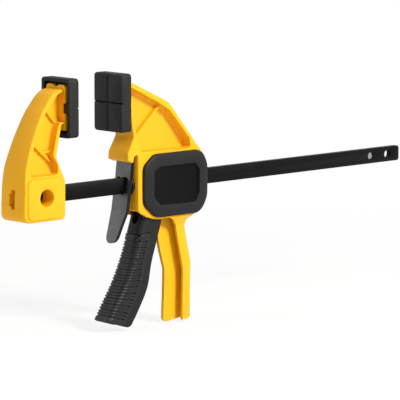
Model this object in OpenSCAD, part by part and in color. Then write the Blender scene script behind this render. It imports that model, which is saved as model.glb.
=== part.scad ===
// One-handed bar clamp with a trigger drive and a quick release lever.
// X runs along the bar from the fixed jaw to the bar's tail, Y across the clamp, Z up.
// The origin is the centre of the fixed pad's clamping face.

/* [Bar] */
// Thickness of the flat bar, across the clamp
bar_t = 4.8; // [4:0.1:6]
// Height of the bar
bar_h = 12.7; // [11:0.1:14]
// Length of the bar
bar_len = 417; // [380:1:700]
// Diameter of the hanging hole near the bar's tail
hang_hole_d = 7.2; // [5:0.1:8]
// Distance of the hanging hole from the bar's tail
hang_hole_inset = 13.8; // [8:0.1:20]
// Diameter of the stop pin
stop_pin_d = 6.2; // [4:0.1:7]
// Distance of the stop pin from the bar's tail
stop_pin_inset = 34.3; // [26:0.1:60]
// How far the stop pin stands out of the bar's far side
stop_pin_proud = 3; // [2:0.1:5]

/* [Clamping] */
// Distance from the bar's upper edge to the centre of the pads
throat = 60.6; // [55:0.1:80]
// Gap between the two pads in the stored position
opening = 43.5; // [10:0.5:200]

/* [Pads] */
// Width of a pad
pad_w = 33.5; // [30:0.1:45]
// Height of a pad
pad_h = 46; // [42:0.1:60]
// Thickness of a pad, from its clamping face to its back rim
pad_t = 10; // [8:0.1:14]
// Wall of the pad's rim
pad_wall = 3; // [2:0.1:4]
// Width of the cross grooves in the clamping face
pad_groove_w = 2.4; // [1:0.1:4]
// Thickness of the head plate that a pad snaps over
plate_t = 2.5; // [2:0.1:3.5]

/* [Fixed jaw] */
// Width of the jaw's lower block
jaw_w = 29; // [26:0.1:36]
// Depth of the pocket in each side of the jaw's arm
jaw_pocket = 8; // [4:0.1:8.5]
// How far the boss panel stands out of each side
boss_proud = 1; // [0.5:0.1:2]
// Diameter of the round hole in each boss panel
boss_hole_d = 13.6; // [10:0.1:16]
// Diameter of the plug that the moulding forms through the bar
plug_d = 5; // [3:0.1:7]

/* [Moving jaw] */
// Width of the body
body_w = 25; // [24.4:0.1:30]
// Wall of the body's two sides
skin = 2.2; // [1.6:0.1:2.3]
// Thickness of the web between the two side pockets
web_t = 5; // [3:0.1:8]
// Clearance of the bar in its slots, on each side
bar_clear = 0.15; // [0.1:0.05:0.4]
// Width of the fixed handle
handle_w = 18.6; // [17:0.1:22]
// Wall of the fixed handle
handle_wall = 2.4; // [1.6:0.1:3]
// Thickness of the web down the middle of the fixed handle
handle_web_t = 2.8; // [2:0.1:4]

/* [Covers] */
// Thickness of a side cover
cover_t = 3.5; // [2.6:0.1:6]
// Depth of the panel sunk in a cover
cover_panel = 2; // [0.5:0.1:2.2]
// Bevel round a cover's outer edge
cover_bevel = 1.6; // [0.5:0.1:2]
// Diameter of a cover's snap pegs
peg_d = 4.8; // [3:0.1:6]

/* [Trigger] */
// Width of the trigger
trigger_w = 19.8; // [18:0.1:20]
// Wall of the trigger's channel
trigger_wall = 2.4; // [1.8:0.1:3]
// Radius of the trigger's front corners
trigger_corner = 6; // [4:0.1:8]
// Thickness of the soft grip
grip_t = 1.6; // [1:0.1:2]
// Depth of the grip's cross ribs
rib_h = 0.8; // [0.3:0.1:1]
// Number of cross ribs on the grip
rib_count = 30; // [10:1:36]
// Diameter of the trigger's pivot pin
pin_d = 5; // [4:0.1:6]

/* [Plates and springs] */
// Thickness of one gripping plate
plate_steel_t = 2.5; // [2:0.1:3]
// Width of the gripping plates
grip_plate_w = 17; // [14:0.1:19]
// Wire of the drive spring
drive_wire = 1.4; // [1:0.1:1.8]
// Turns of the drive spring
drive_turns = 6; // [4:1:10]
// Wire of the brake spring
brake_wire = 1.2; // [0.8:0.1:1.5]
// Turns of the brake spring
brake_turns = 2.5; // [2:0.5:4]

/* [Release lever] */
// Thickness of the release lever
lever_t = 3; // [2:0.1:3.2]
// Width of the release lever
lever_w = 17.5; // [15:0.1:20]
// Height of the lever's window round the bar
window_h = 14.4; // [14.2:0.1:15]
// Width of the lever's window
window_w = 13.8; // [8:0.1:14]

/* [Hidden] */
$fn = 64;
YELLOW = "gold";
BLACK = "dimgray";
STEEL = "silver";

fit = 0.03;             // running clearance of a pin in its hole
over = 1;               // how far a cut runs past a face
layer = 0.1;            // thickness of the end slabs that a bevelled shape is drawn between
bar_z = -throat - bar_h / 2;        // height of the bar's axis
mount_gap = 0.2;        // the head plate's back stands this far inside the pad's rim
fixed_x = -pad_t;       // plane of the fixed pad's back rim
moving_x = opening + pad_t;         // plane of the moving pad's back rim
bar_front = fixed_x - 35;           // front end of the bar, inside the fixed jaw
bar_tail = bar_front + bar_len;

// Heights measured from the bar's upper edge, from its lower edge and along an arm
function above(d) = bar_z + bar_h / 2 + d;
function below(d) = bar_z - bar_h / 2 - d;
function arm(share) = -throat * share;

function unit(v) = v / norm(v);

// A closed outline whose corners [x, z, r] are rounded to radius r
function fillet(a, p, b, r) =
    let (u = unit(a - p), v = unit(b - p), half = acos(u * v) / 2,
         room = min(norm(a - p), norm(b - p)) * 0.5,
         t = min(r / tan(half), room), rr = t * tan(half),
         c = p + unit(u + v) * rr / sin(half),
         s = p + u * t - c, e = p + v * t - c,
         a0 = atan2(s[1], s[0]), turn = atan2(s[0] * e[1] - s[1] * e[0], s * e),
         n = max(2, ceil(abs(turn) / 12)))
    [for (k = [0:n]) c + rr * [cos(a0 + turn * k / n), sin(a0 + turn * k / n)]];

function xz(p) = [p[0], p[1]];

function rounded(pts) =
    [for (i = [0:len(pts) - 1])
        let (n = len(pts), p = pts[i], r = len(p) > 2 ? p[2] : 0)
        each (r == 0 ? [xz(p)]
            : fillet(xz(pts[(i + n - 1) % n]), xz(p), xz(pts[(i + 1) % n]), r))];

// A smooth open curve through the points given
function curve(p, steps = 4) = concat(
    [for (i = [0:len(p) - 2]) for (k = [0:steps - 1])
        let (a = p[max(i - 1, 0)], b = p[i], c = p[i + 1], d = p[min(i + 2, len(p) - 1)],
             t = k / steps)
        (2 * b + (c - a) * t + (2 * a - 5 * b + 4 * c - d) * t * t
            + (3 * b - a - 3 * c + d) * t * t * t) / 2],
    [p[len(p) - 1]]);

// Side outline in X and Z, made solid across the clamp
module side(pts, width) {
    rotate([90, 0, 0]) linear_extrude(width, center = true) polygon(pts);
}

// Solid slab between two planes across the clamp, cut to a side outline
module slab(pts, y0, y1) {
    translate([0, y1, 0]) rotate([90, 0, 0]) linear_extrude(y1 - y0) polygon(pts);
}

// Prism along X whose half width falls from low to high between two heights
module flank(low, high, z_low, z_high, reach) {
    translate([-reach, 0, 0]) rotate([90, 0, 90]) linear_extrude(2 * reach)
        polygon([[-low, -3 * throat], [low, -3 * throat], [low, z_low], [high, z_high],
                 [high, throat], [-high, throat], [-high, z_high], [-low, z_low]]);
}

// Cylinder across the clamp between two planes
module across(x, z, r, y0, y1) {
    translate([x, y1, z]) rotate([90, 0, 0]) cylinder(h = y1 - y0, r = r);
}

// Skin over rings of points, each ring with as many points as the next. A ring that folds back
// on itself, as a channel's does, gets its ends closed by a strip between its two runs.
module loft(rings, folded = false) {
    n = len(rings[0]);
    m = len(rings);
    last = (m - 1) * n;
    ends = folded
        ? [for (j = [0:n / 2 - 2]) let (a = j, b = j + 1, c = n - 2 - j, d = n - 1 - j)
            each [[d, b, a], [d, c, b], [last + a, last + b, last + d], [last + b, last + c, last + d]]]
        : [[for (j = [n - 1:-1:0]) j], [for (j = [0:n - 1]) last + j]];
    sides = [for (i = [0:m - 2]) for (j = [0:n - 1])
        let (a = i * n + j, b = i * n + (j + 1) % n)
            each [[a, b, b + n], [a, b + n, a + n]]];
    polyhedron([for (r = rings) each r], concat(ends, sides));
}

// ---- Bar and stop pin ----

plug_x = bar_front + 24;
hang_x = bar_tail - hang_hole_inset;
stop_x = bar_tail - stop_pin_inset;
stop_sunk = 0.8;        // the pin's near end lies below the bar's face
tail_bevel = 1.5;

module bar() {
    color(BLACK) difference() {
        side([[bar_front, above(0)], [bar_tail - tail_bevel, above(0)],
              [bar_tail, above(-tail_bevel)], [bar_tail, below(-tail_bevel)],
              [bar_tail - tail_bevel, below(0)], [bar_front, below(0)]], bar_t);
        across(hang_x, bar_z, hang_hole_d / 2, -bar_t, bar_t);
        across(stop_x, bar_z, stop_pin_d / 2, -bar_t, bar_t);
        across(plug_x, bar_z, plug_d / 2, -bar_t, bar_t);
    }
}

module stop_pin() {
    color(STEEL) across(stop_x, bar_z, stop_pin_d / 2 - fit, -bar_t / 2 + stop_sunk,
                        bar_t / 2 + stop_pin_proud);
}

// ---- Head plate and pad, the same on both jaws ----
// Both are drawn for the fixed jaw, with the pad's back rim at X = 0 and its face at X = pad_t.

plate_half_w = pad_w / 2 - pad_wall - 2.75;
plate_top = pad_h / 2 - pad_wall - 2;
plate_bottom = -pad_h / 2 + pad_wall + 3;
plate_front = mount_gap + plate_t;
crest_r = 5;            // the two scallops in the plate's top edge
notch_h = 8;            // notch in each edge of the plate, which holds the pad's tab
notch_d = 1.9;
tab_gap = 0.1;

module head_plate() {
    difference() {
        translate([mount_gap, -plate_half_w, plate_bottom])
            cube([plate_t, 2 * plate_half_w, plate_top - plate_bottom]);
        translate([0, 0, plate_top + crest_r * 0.7]) rotate([0, 90, 0])
            cylinder(h = 2 * pad_t, r = crest_r, center = true);
        for (s = [-1, 1]) {
            translate([0, s * (plate_half_w + 0.5), plate_top + 0.3]) rotate([0, 90, 0])
                cylinder(h = 2 * pad_t, r = 2, center = true);
            translate([-over, s * plate_half_w - notch_d, -notch_h / 2])
                cube([pad_t, 2 * notch_d, notch_h]);
        }
    }
}

pad_corner = 3;
pad_bevel = 1.5;
pad_floor = 4;          // rubber left between the cup and the clamping face

module pad_slab(x, inset, thick) {
    translate([x, 0, 0]) rotate([90, 0, 90]) linear_extrude(thick)
        polygon(rounded([for (c = [[-1, -1], [1, -1], [1, 1], [-1, 1]])
            [c[0] * (pad_w / 2 - inset), c[1] * (pad_h / 2 - inset), pad_corner]]));
}

module pad() {
    color(BLACK) difference() {
        hull() {
            pad_slab(0, 0, pad_t - pad_bevel);
            pad_slab(pad_t - layer, pad_bevel, layer);
        }
        difference() {
            pad_slab(-over, pad_wall, pad_t - pad_floor + over);
            // platform that bears on the head plate
            translate([plate_front, -plate_half_w + 3, plate_bottom + 3])
                cube([pad_t, 2 * plate_half_w - 6, plate_top - plate_bottom - 6]);
            // a tab on each side snaps into the plate's notch
            for (s = [0, 1]) mirror([0, s, 0])
                translate([mount_gap, plate_half_w - notch_d + tab_gap, -notch_h / 2 + tab_gap])
                    cube([pad_t, notch_d + 2 * pad_wall, notch_h - 2 * tab_gap]);
        }
        translate([pad_t, 0, 0]) rotate([0, 0, 45])
            cube([pad_groove_w / sqrt(2), pad_groove_w / sqrt(2), 2 * pad_h], center = true);
        translate([pad_t, 0, 0]) rotate([0, 45, 0])
            cube([pad_groove_w / sqrt(2), 2 * pad_w, pad_groove_w / sqrt(2)], center = true);
    }
}

module fixed_pad() {
    translate([fixed_x, 0, 0]) pad();
}

module moving_pad() {
    translate([moving_x, 0, 0]) mirror([1, 0, 0]) pad();
}

// ---- Fixed jaw, drawn with the pad's back rim at X = 0 ----

jaw_back = -43.6;       // outer face of the lower block
jaw_top_half = 9.5;     // half width of the arm at its top
arm_low = above(1.7);   // the arm starts to taper here
arm_high = plate_top - 5;

fixed_outer = curve([[jaw_back + 1.1, above(7)], [-41.2, arm(0.70)], [-34.7, arm(0.37)],
                     [-25.6, arm(0.07)], [-20.3, plate_top - 15.5], [-13.4, plate_top - 8.1],
                     [-6.8, plate_top - 4.3], [mount_gap + 1, plate_top - 2.6]]);
fixed_outline = rounded(concat(
    [[jaw_back, below(12), 6], [jaw_back, below(0.6), 8], [jaw_back + 0.8, above(3)]],
    fixed_outer,
    [[mount_gap + 1, plate_bottom + 5.2], [-3.6, plate_bottom + 5.2, 2],
     [-7.6, arm(0.33), 6], [-12.4, arm(0.6), 9], [-9.8, arm(0.73), 6],
     [-3.6, above(6), 6], [-3.6, below(8), 5], [-5.5, below(12), 3]]));

fixed_pocket = rounded([
    [2, plate_top - 4.6, 1], [-5, plate_top - 6, 6], [-18.5, plate_top - 17.6, 12],
    [-28.5, arm(0.26), 16], [-36.6, arm(0.68), 20], [-38, above(11), 4], [-11.7, above(11), 3],
    [-11.7, arm(0.68), 4], [-14, arm(0.58), 4], [-6.6, plate_bottom + 3, 4],
    [-5.4, plate_bottom + 6.6, 1], [2, plate_bottom + 6.6, 1]]);

boss_x = -22;           // middle of the boss panel
boss_outline = rounded([[-40.6, below(10.6), 5], [-4.7, below(10.6), 5], [-4.7, above(8.6), 5],
                        [-40.6, above(8.6), 5]]);
rib_w = 2;              // thickness of the ribs in the arm's pocket
rib_sunk = 2.4;         // the ribs' edges lie this far below the arm's side

// Straight rib between two points, across both pockets
module rib(a, b, half) {
    d = unit(b - a);
    q = [-d[1], d[0]] * rib_w / 2;
    side([a + q, a - q, b - q, b + q], 2 * half);
}

module fixed_jaw() {
    web_low = jaw_w / 2 - jaw_pocket;
    web_high = jaw_top_half - jaw_pocket + 0.5;
    color(YELLOW) translate([fixed_x, 0, 0]) difference() {
        union() {
            difference() {
                intersection() {
                    side(fixed_outline, 2 * jaw_w);
                    flank(jaw_w / 2, jaw_top_half, arm_low, arm_high, 3 * throat);
                }
                difference() {
                    side(fixed_pocket, 2 * jaw_w);
                    flank(web_low, web_high, arm_low, arm_high, 3 * throat);
                }
            }
            intersection() {
                union() {
                    rib([-19, plate_top - 20], [-4, plate_bottom + 4], jaw_w);
                    rib([-31, arm(0.42)], [-13, arm(0.70)], jaw_w);
                }
                side(fixed_outline, 2 * jaw_w);
                flank(jaw_w / 2 - rib_sunk, jaw_top_half - rib_sunk, arm_low, arm_high,
                      3 * throat);
            }
            slab(boss_outline, -jaw_w / 2 - boss_proud, jaw_w / 2 + boss_proud);
            head_plate();
        }
        // the bar's seat, and the slot behind the bar's end
        translate([jaw_back - over, -bar_t / 2, below(0)])
            cube([3 * throat, bar_t, bar_h]);
        for (s = [-1, 1])
            across(boss_x, bar_z, boss_hole_d / 2, s < 0 ? -jaw_w : bar_t / 2,
                   s < 0 ? -bar_t / 2 : jaw_w);
    }
    color(YELLOW) across(plug_x, bar_z, plug_d / 2, -bar_t / 2, bar_t / 2);
}

// ---- Moving jaw, drawn with the pad's back rim at X = 0 ----

body_rear = 81;         // rear face of the body
wall_front = 11;        // front face of the wall that the release lever rests against
wall_t = 6.5;
wall_rear_t = 2.6;
pivot = [29, above(7.65)];          // axis of the trigger
lever_pivot = [9, above(16.65)];    // axis of the release lever, in its seat
lever_seat = lever_t / 2 + 0.4;
body_low = above(12);
body_high = plate_top - 5;
body_top_half = 9.2;

body_outline = rounded(concat(
    [[-mount_gap - 1, plate_bottom + 5.2], [-mount_gap - 1, plate_top - 1.2]],
    curve([[3, plate_top - 1], [7.6, plate_top - 2.8], [19.9, plate_top - 8.7],
           [33.7, plate_top - 15.1], [44.6, plate_top - 20.5], [51.1, plate_top - 26.9],
           [56.9, arm(0.27)], [65.8, arm(0.45)], [71.8, arm(0.58)]], 3),
    [[81, above(14.8), 4], [body_rear, below(20), 4], [67.7, below(26), 3],
     [57, below(22)], [40.6, below(22)],
     [33.9, below(22.2)], [27.7, below(21.4)], [20.2, below(19.2)], [13.4, below(15.5)],
     [wall_front, below(13.2)], [wall_front, lever_pivot[1]],
     lever_pivot - [lever_seat, 0],
     [6.4, above(13.2), 1], [5.4, above(12.4), 1], [0.6, above(14.6), 1],
     [0.8, above(20.6), 4], [7.6, arm(0.46), 5], [5.6, plate_bottom + 1],
     [5.4, plate_bottom + 5.2, 2]]));

body_pocket = rounded([
    [-2, plate_top - 4], [7.4, plate_top - 7, 3], [35.9, plate_top - 20.8, 6],
    [46.8, plate_top - 27.6, 6], [66.2, arm(0.54), 4], [67.8, above(19.6), 3],
    [14.4, above(20.4), 3], [9, arm(0.36), 6], [8.2, plate_bottom + 3, 4],
    [4.6, plate_bottom + 7.2, 2], [-2, plate_bottom + 7.2, 1]]);

mouth_rear = 50.5;      // rear end of the opening in the body's underside for the trigger
body_hollow = [[wall_front + wall_t, above(15.4)], [body_rear - wall_rear_t, above(15.4)],
               [body_rear - wall_rear_t, below(18)], [mouth_rear, below(20)],
               [mouth_rear, below(34)],
               [wall_front + 1, below(34)], [wall_front + 1, below(13.4)],
               [wall_front + wall_t, below(13.4)]];

cover_outline = rounded([[15.1, bar_z + 15.5, 7], [25.5, bar_z + 24.3, 14],
                         [77.5, bar_z + 24.3, 12], [83.5, bar_z + 12, 16],
                         [83.3, bar_z - 14, 16], [76, bar_z - 26.8, 12],
                         [28, bar_z - 26.6, 14], [15.1, bar_z - 15.5, 7]]);
peg_places = [[24, above(11)], [72, above(10)], [72, below(8)]];

// The handle is a channel open to the front, with a web down its middle that stands out of it.
// [front edge of the side walls, back, height] from top to bottom
handle_line = curve([[46, 69, below(18)], [50, 67, below(26)], [53.4, 67.3, below(35)],
                     [55.6, 70.1, below(44)], [60.5, 73.1, below(59.5)],
                     [61.9, 73.7, below(72)], [61.6, 73.2, below(88)],
                     [60.6, 72.8, below(112)]], 3);
handle_corner = 7;      // radius of the handle's back corners
web_front = curve([[37, below(18)], [38.6, below(34)], [43.2, below(49)], [46.4, below(59)],
                   [47.6, below(69.5)], [47.4, below(82)], [46.3, below(95)],
                   [46.1, below(104)]], 3);
foot = [46, below(108.3)];      // front end of the handle's slanted foot
foot_slope = 7;

// Ring round the channel at one height, inset from its outer face and reaching further forward
function handle_ring(p, inset, front) =
    let (half = handle_w / 2 - inset, r = handle_corner - inset, back = p[1] - inset)
    concat([[p[0] - front, -half, p[2]]],
           [for (a = [-90:15:0]) [back - r + r * cos(a), -half + r + r * sin(a), p[2]]],
           [for (a = [0:15:90]) [back - r + r * cos(a), half - r + r * sin(a), p[2]]],
           [[p[0] - front, half, p[2]]]);

module handle_outer() {
    loft([for (p = handle_line) handle_ring(p, 0, 0)]);
}

module handle_inner() {
    drop = [0, 0, 3];
    loft([for (i = [0:len(handle_line) - 1])
        handle_ring(handle_line[i] - (i == len(handle_line) - 1 ? drop : [0, 0, 0]),
                    handle_wall, 8)]);
}

module handle_web() {
    side(concat(web_front, [[47, below(107)], [49.4, below(109)]],
                [for (i = [len(handle_line) - 1:-1:0])
                    [handle_line[i][1] - handle_wall / 2, handle_line[i][2]]]), handle_web_t);
}

// What lies below the handle's slanted foot
module below_foot() {
    translate([foot[0], -body_w, foot[1]]) rotate([0, -foot_slope, 0])
        translate([-throat, 0, -throat]) cube([3 * throat, 2 * body_w, throat]);
}

module jaw_body() {
    color(YELLOW) translate([moving_x, 0, 0]) difference() {
        union() {
            body_shell();
            handle_web();
        }
        below_foot();
    }
}

module body_shell() {
    difference() {
        union() {
            difference() {
                intersection() {
                    side(body_outline, 2 * body_w);
                    flank(body_w / 2, body_top_half, body_low, body_high, 3 * throat);
                }
                for (s = [-1, 1])
                    slab(body_pocket, s < 0 ? -body_w : web_t / 2, s < 0 ? -web_t / 2 : body_w);
            }
            // diagonal rib in the side pockets
            rib([38.6, plate_top - 24.5], [14, arm(0.47)], web_t / 2 + 3.5);
            mirror([1, 0, 0]) head_plate();
            // flat seats for the two covers
            slab(cover_seat, -body_w / 2, body_w / 2);
            difference() {
                handle_outer();
                translate([wall_front, -body_w, below(14)]) cube([throat, 2 * body_w, throat]);
            }
        }
        difference() {
            slab(body_hollow, -body_w / 2 + skin, body_w / 2 - skin);
            // bosses that carry the trigger's pin
            for (s = [-1, 1])
                across(pivot[0], pivot[1], pin_d / 2 + 1.8,
                       s < 0 ? -body_w / 2 : fork_out + 0.3,
                       s < 0 ? -fork_out - 0.3 : body_w / 2);
        }
        handle_inner();
        across(lever_pivot[0], lever_pivot[1], lever_seat, -body_w, body_w);
        across(pivot[0], pivot[1], pin_d / 2 + fit / 2, -body_w, body_w);
        for (p = peg_places) across(p[0], p[1], peg_d / 2 + fit, -body_w, body_w);
        // slot for the bar through the front and rear walls
        translate([-throat, -bar_t / 2 - bar_clear, below(bar_clear)])
            cube([3 * throat, bar_t + 2 * bar_clear, bar_h + 2 * bar_clear]);
        // seat of the brake spring
        translate([wall_front - over, 0, bar_z]) rotate([0, 90, 0])
            cylinder(h = over + brake_seat, r = brake_r + brake_wire / 2 + 0.4);
    }
}

// ---- Covers ----

cover_seat = rounded([[17, bar_z + 14.8, 6], [26, bar_z + 22.6, 12], [76, bar_z + 22.6, 10],
                      [80.9, bar_z + 12, 10], [80.9, bar_z - 14, 10], [74, bar_z - 24.8, 10],
                      [29, bar_z - 24.8, 12], [17, bar_z - 14.8, 6]]);
panel_corners = [[24.7, 10.9, 3], [31, 14.2, 3], [68.6, 14.2, 3], [73.6, 9, 4],
                 [73.6, -10, 6], [69.4, -17.4, 4], [31.8, -16.8, 3], [24.7, -10.6, 3]];

// The cover's outline or panel drawn smaller by d, shrunk about the middle
function shrunk(pts, d, c) =
    [for (p = pts) let (v = [p[0], p[1]] - c)
        [p[0] - d * sign(v[0]) * min(1, abs(v[0]) / 12),
         p[1] - d * sign(v[1]) * min(1, abs(v[1]) / 12)]];

cover_middle = [49.2, bar_z - 1.2];

module plate_at(pts, y, thick) {
    translate([0, y + thick, 0]) rotate([90, 0, 0]) linear_extrude(thick) polygon(pts);
}

// Drawn on the +Y side of the body
module cover() {
    y0 = body_w / 2;
    panel = rounded([for (p = panel_corners) [p[0], bar_z + p[1], p[2]]]);
    color(BLACK) translate([moving_x, 0, 0]) {
        difference() {
            hull() {
                plate_at(cover_outline, y0, cover_t - cover_bevel);
                plate_at(shrunk(cover_outline, cover_bevel, cover_middle), y0 + cover_t - layer,
                         layer);
            }
            hull() {
                plate_at(panel, y0 + cover_t, layer);
                plate_at(shrunk(panel, cover_panel, cover_middle), y0 + cover_t - cover_panel,
                         layer);
            }
        }
        for (p = peg_places)
            across(p[0], p[1], peg_d / 2, y0 - skin + 0.1, y0);
    }
}

module near_cover() {
    mirror([0, 1, 0]) cover();
}

module far_cover() {
    cover();
}

// ---- Trigger ----

fork_in = bar_t / 2 + 1;            // the fork straddles the bar
fork_out = trigger_w / 2 - 1.5;
drive_x = 39.5;         // front face of the gripping plates
nose_r = 3;             // the fork's round nose, which rolls on the front plate
nose_gap = 0.2;         // free travel of the trigger before the nose meets the plate
nose = [drive_x - nose_gap - nose_r, pivot[1] - 13.5];
fork_outline = rounded(concat(
    [for (a = [160:-20:20]) pivot + (pin_d / 2 + 4) * [cos(a), sin(a)]],
    [for (a = [20:-20:-80]) nose + nose_r * [cos(a), sin(a)]],
    [[33.8, below(8), 4], [38.2, below(24), 2], [34, below(36)],
     [20, below(30)], [23, below(17.6)], [18, below(4)], [18, above(-6)]]));

// [front x, front z, back x, back z] of the trigger's channel from top to bottom
trigger_line = curve([[20.1, below(17.6), 38.2, below(23)], [15.7, below(33.1), 32.7, below(40.1)],
                      [8.9, below(51), 27.2, below(56.5)], [0.2, below(69.6), 22.9, below(75.6)],
                      [-10.2, below(85.6), 14.1, below(91.8)],
                      [-18.5, below(98.7), 3.4, below(105.8)]], 4);

// Ring of the channel: a closed front with round corners and an open back.
// lift moves the front face out, back the rear edge forward.
function channel_ring(s, half_w, wall, lift, back) =
    let (front = [s[0], s[1]], rear = [s[2], s[3]], d = unit(rear - front),
         depth = norm(rear - front) - back, r = trigger_corner,
         place = function (u, y) [front[0] + d[0] * (u - lift), y, front[1] + d[1] * (u - lift)])
    concat([place(depth + lift, half_w + lift)],
           [for (a = [90:15:180]) place(r + r * cos(a), half_w + lift - r + r * sin(a))],
           [for (a = [180:15:270]) place(r + r * cos(a), -half_w - lift + r + r * sin(a))],
           [place(depth + lift, -half_w - lift)],
           [place(depth + lift, -half_w + wall)],
           [for (a = [270:-15:180])
               place(r + (r - wall) * cos(a) + lift, -half_w + r + (r - wall) * sin(a))],
           [for (a = [180:-15:90])
               place(r + (r - wall) * cos(a) + lift, half_w - r + (r - wall) * sin(a))],
           [place(depth + lift, half_w - wall)]);

module channel(lines, half_w, wall, lift, back) {
    loft([for (s = lines) channel_ring(s, half_w, wall, lift, back)], folded = true);
}

grip_top = 4;           // the grip starts at this station of the trigger's line
grip_strip = 7;         // width of the plain strip that the grip leaves at the trigger's rear
grip_gap = 0.02;        // between the grip and the lever under it
slot_z = below(25.4);   // bottom of the slot between the fork's arms

module trigger() {
    half_w = trigger_w / 2;
    color(BLACK) translate([moving_x, 0, 0]) difference() {
        union() {
            channel([for (i = [0:grip_top]) trigger_line[i]], half_w, trigger_wall, 0, 0);
            channel([for (i = [grip_top:len(trigger_line) - 1]) trigger_line[i]],
                    half_w - grip_t, trigger_wall, 0, 0);
            for (s = [-1, 1])
                slab(fork_outline, s < 0 ? -fork_out : fork_in, s < 0 ? -fork_in : fork_out);
        }
        across(pivot[0], pivot[1], pin_d / 2 + 2 * fit, -body_w, body_w);
        translate([-throat, -fork_in, slot_z + fork_in]) cube([4 * throat, 2 * fork_in, throat]);
    }
}

module trigger_pin() {
    color(STEEL) translate([moving_x, 0, 0])
        across(pivot[0], pivot[1], pin_d / 2, -body_w / 2, body_w / 2);
}

// Soft grip round the front of the trigger's lower channel
module trigger_grip() {
    half_w = trigger_w / 2;
    lines = [for (i = [grip_top:len(trigger_line) - 1]) trigger_line[i]];
    n = 2 * rib_count;
    color(BLACK) translate([moving_x, 0, 0])
        loft([for (k = [0:n])
            let (t = k / n * (len(lines) - 1), i = min(floor(t), len(lines) - 2), f = t - i,
                 s = lines[i] * (1 - f) + lines[i + 1] * f)
            channel_ring(s, half_w - grip_t + grip_gap, 0,
                         grip_t - grip_gap - (k % 2) * rib_h, grip_strip)],
            folded = true);
}

// ---- Gripping plates and springs ----

window_y = bar_t / 2 + 0.25;
plate_over = 4.6;       // steel above the bar
plate_under = 3.6;      // steel below the bar

module grip_plate(x) {
    color(STEEL) translate([moving_x + x, 0, 0]) difference() {
        translate([0, -grip_plate_w / 2, below(plate_under)])
            cube([plate_steel_t, grip_plate_w, bar_h + plate_over + plate_under]);
        translate([-over, -window_y, below(0.2)])
            cube([plate_steel_t + 2 * over, 2 * window_y, bar_h + 0.4]);
    }
}

module drive_plate_front() {
    grip_plate(drive_x);
}

module drive_plate_rear() {
    grip_plate(drive_x + plate_steel_t);
}

bar_reach = norm([bar_t, bar_h]) / 2;       // from the bar's axis to its corners
drive_r = bar_reach + drive_wire / 2 + 0.4;
brake_r = bar_reach + brake_wire / 2 + 0.3;
brake_seat = 4;         // depth of the brake spring's seat in the front wall

// Coil round the bar from x0 to x1, its wire swept as one closed tube
module coil(x0, x1, r, wire, turns) {
    sides = 8;
    steps = ceil(turns * 16);
    a = x0 + wire / 2;
    b = x1 - wire / 2;
    color(STEEL) translate([moving_x, 0, bar_z])
        loft([for (k = [0:steps]) let (w = 360 * turns * k / steps, x = a + (b - a) * k / steps)
            [for (j = [0:sides - 1]) let (q = -360 * j / sides, c = r + wire / 2 * cos(q))
                [x + wire / 2 * sin(q), c * cos(w), c * sin(w)]]]);
}

module drive_spring() {
    coil(drive_x + 2 * plate_steel_t, body_rear - wall_rear_t, drive_r, drive_wire,
         drive_turns);
}

module brake_spring() {
    coil(lever_back_x, wall_front + brake_seat, brake_r, brake_wire, brake_turns);
}

// ---- Release lever ----
// A plate bent from one strip: centre line of its front face, from the seat down to the tip

lever_front = [[lever_pivot[0] - lever_t / 2, lever_pivot[1]], [6.3, above(9.05)],
               [5.4, above(0.45)], [2.8, below(1.75)], [1.1, below(13.15)],
               [-2.3, below(22.55)], [-7.5, below(38.35)]];
lever_back_x = 9;       // the brake spring bears on the lever's back here
lever_tip_r = 6;
lever_back = [lever_t * 1.05, 0];   // from the front face to the back, along X

lever_outline = concat(
    [lever_pivot + [lever_t / 2, 0]],
    [for (i = [1:len(lever_front) - 1]) lever_front[i] + lever_back],
    [for (i = [len(lever_front) - 1:-1:0]) lever_front[i]]);

// The lever seen from the front: wide above, narrower to a round tip
module lever_face() {
    z_low = below(38.35);
    translate([-throat, 0, 0]) rotate([90, 0, 90]) linear_extrude(3 * throat)
        polygon(rounded([[-lever_w / 2, above(22)], [lever_w / 2, above(22)],
                         [lever_w / 2, below(14), 10], [7.4, below(24), 10],
                         [5.9, z_low, lever_tip_r], [-5.9, z_low, lever_tip_r],
                         [-7.4, below(24), 10], [-lever_w / 2, below(14), 10]]));
}

module release_lever() {
    color(STEEL) translate([moving_x, 0, 0]) difference() {
        union() {
            intersection() {
                side(lever_outline, 2 * lever_w);
                lever_face();
            }
            across(lever_pivot[0], lever_pivot[1], lever_t / 2, -lever_w / 2, lever_w / 2);
        }
        translate([-throat, 0, bar_z]) rotate([90, 0, 90]) linear_extrude(3 * throat)
            polygon(rounded([for (c = [[-1, -1], [1, -1], [1, 1], [-1, 1]])
                [c[0] * window_w / 2, c[1] * window_h / 2, 2.5]]));
    }
}

bar();
stop_pin();
fixed_jaw();
fixed_pad();
jaw_body();
moving_pad();
near_cover();
far_cover();
trigger_pin();
trigger();
trigger_grip();
drive_plate_front();
drive_plate_rear();
drive_spring();
release_lever();
brake_spring();
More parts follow.
